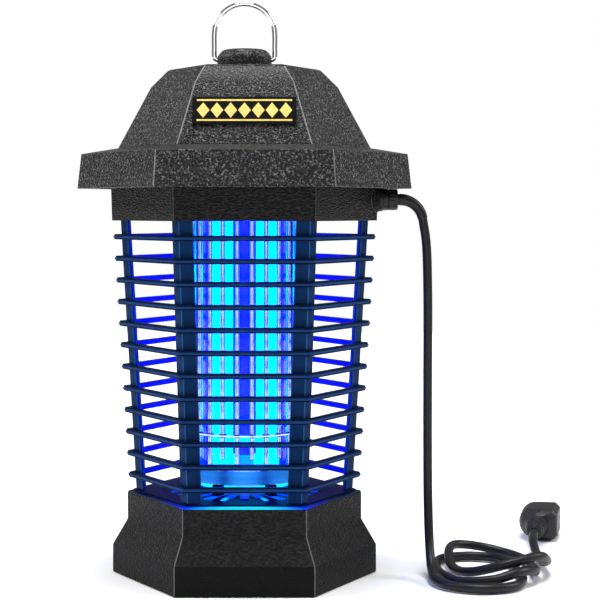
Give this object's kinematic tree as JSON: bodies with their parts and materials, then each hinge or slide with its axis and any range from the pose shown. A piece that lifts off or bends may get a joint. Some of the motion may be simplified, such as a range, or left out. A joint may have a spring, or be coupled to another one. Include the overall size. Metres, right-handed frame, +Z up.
{
  "type": "electric bug zapper",
  "caption": "Hexagonal lantern insect killer: caged high-voltage rod grid around a glowing twin-tube lamp, pull-off catch tray, wire hanging loop, mains cord with plug.",
  "frame": {"origin": "centre of the lantern's underside, on the floor", "axes": "+Z up along the lantern's axis, +X towards the corner that the cord leaves, -Y towards the badge"},
  "size_m": [0.3126, 0.2323, 0.3423],
  "materials": {
    "grained_black": "leather-grained moulded plastic, black",
    "guard_navy": "dark moulded plastic, lit blue by the lamp",
    "grid_steel": "bright drawn steel wire",
    "chrome_wire": "bright plated wire",
    "nickel": "nickel plate",
    "lamp_glow": "lit cyan lamp tube",
    "tinted_sleeve": "clear blue tinted sleeve",
    "white_plastic": "white heat-resistant plastic",
    "cord_rubber": "smooth black flexible plastic",
    "board_green": "green circuit board",
    "dark_plastic": "black coil sleeve",
    "copper_winding": "ferrite core with enamelled copper winding",
    "capacitor_film": "dipped film capacitor",
    "fuse_glass": "fuse body",
    "badge_black": "black plate with a plain gold line pattern"
  },
  "bodies": {
    "base": {"base_tray": "grained_black", "power_cord": "cord_rubber", "plug_strain_relief": "cord_rubber", "plug_body": "cord_rubber", "plug_blade_line": "nickel", "plug_blade_neutral": "nickel", "plug_ground_pin": "nickel"},
    "lantern": {"upper_housing": "grained_black", "roof_cover": "grained_black", "roof_brim": "grained_black", "hanger_boss": "grained_black", "drop_grille": "guard_navy", "drop_skirt": "guard_navy", "grid_hub": "white_plastic", "grid_electrode_return": "grid_steel", "grid_electrode_live": "grid_steel", "grid_spacer_hoop": "white_plastic", "grid_upper_insulator": "white_plastic", "lamp_tube": "lamp_glow", "lamp_cradle": "white_plastic", "lamp_base": "white_plastic", "lamp_pin_1": "nickel", "lamp_pin_2": "nickel", "lamp_socket": "white_plastic", "lamp_sleeve": "tinted_sleeve", "badge": "badge_black", "circuit_board": "board_green", "hv_transformer": "copper_winding", "lamp_choke": "dark_plastic", "hv_capacitor_1": "capacitor_film", "hv_capacitor_2": "capacitor_film", "mains_fuse": "fuse_glass", "gland_body": "cord_rubber", "gland_nut": "cord_rubber", "cord_boot": "cord_rubber", "guard_post_1": "guard_navy", "guard_post_2": "guard_navy", "guard_post_3": "guard_navy", "guard_post_4": "guard_navy", "guard_post_5": "guard_navy", "guard_post_6": "guard_navy", "guard_ring_01": "guard_navy", "guard_ring_02": "guard_navy", "guard_ring_03": "guard_navy", "guard_ring_04": "guard_navy", "guard_ring_05": "guard_navy", "guard_ring_06": "guard_navy", "guard_ring_07": "guard_navy", "guard_ring_08": "guard_navy", "guard_ring_09": "guard_navy", "guard_ring_10": "guard_navy", "guard_ring_11": "guard_navy", "guard_ring_12": "guard_navy", "roof_screw_1": "grid_steel", "roof_screw_2": "grid_steel", "roof_screw_3": "grid_steel"},
    "hanger": {"hanging_loop": "chrome_wire"}
  },
  "joints": [
    {"name": "lantern_lift", "type": "slide", "parent": "base", "child": "lantern", "axis": [0, 0, 1], "range_m": [0, 0.06]},
    {"name": "hanger_swing", "type": "hinge", "parent": "lantern", "child": "hanger", "pos_m": [0, 0, 0.3073], "axis": [1, 0, 0], "range_deg": [-90, 90]}
  ]
}
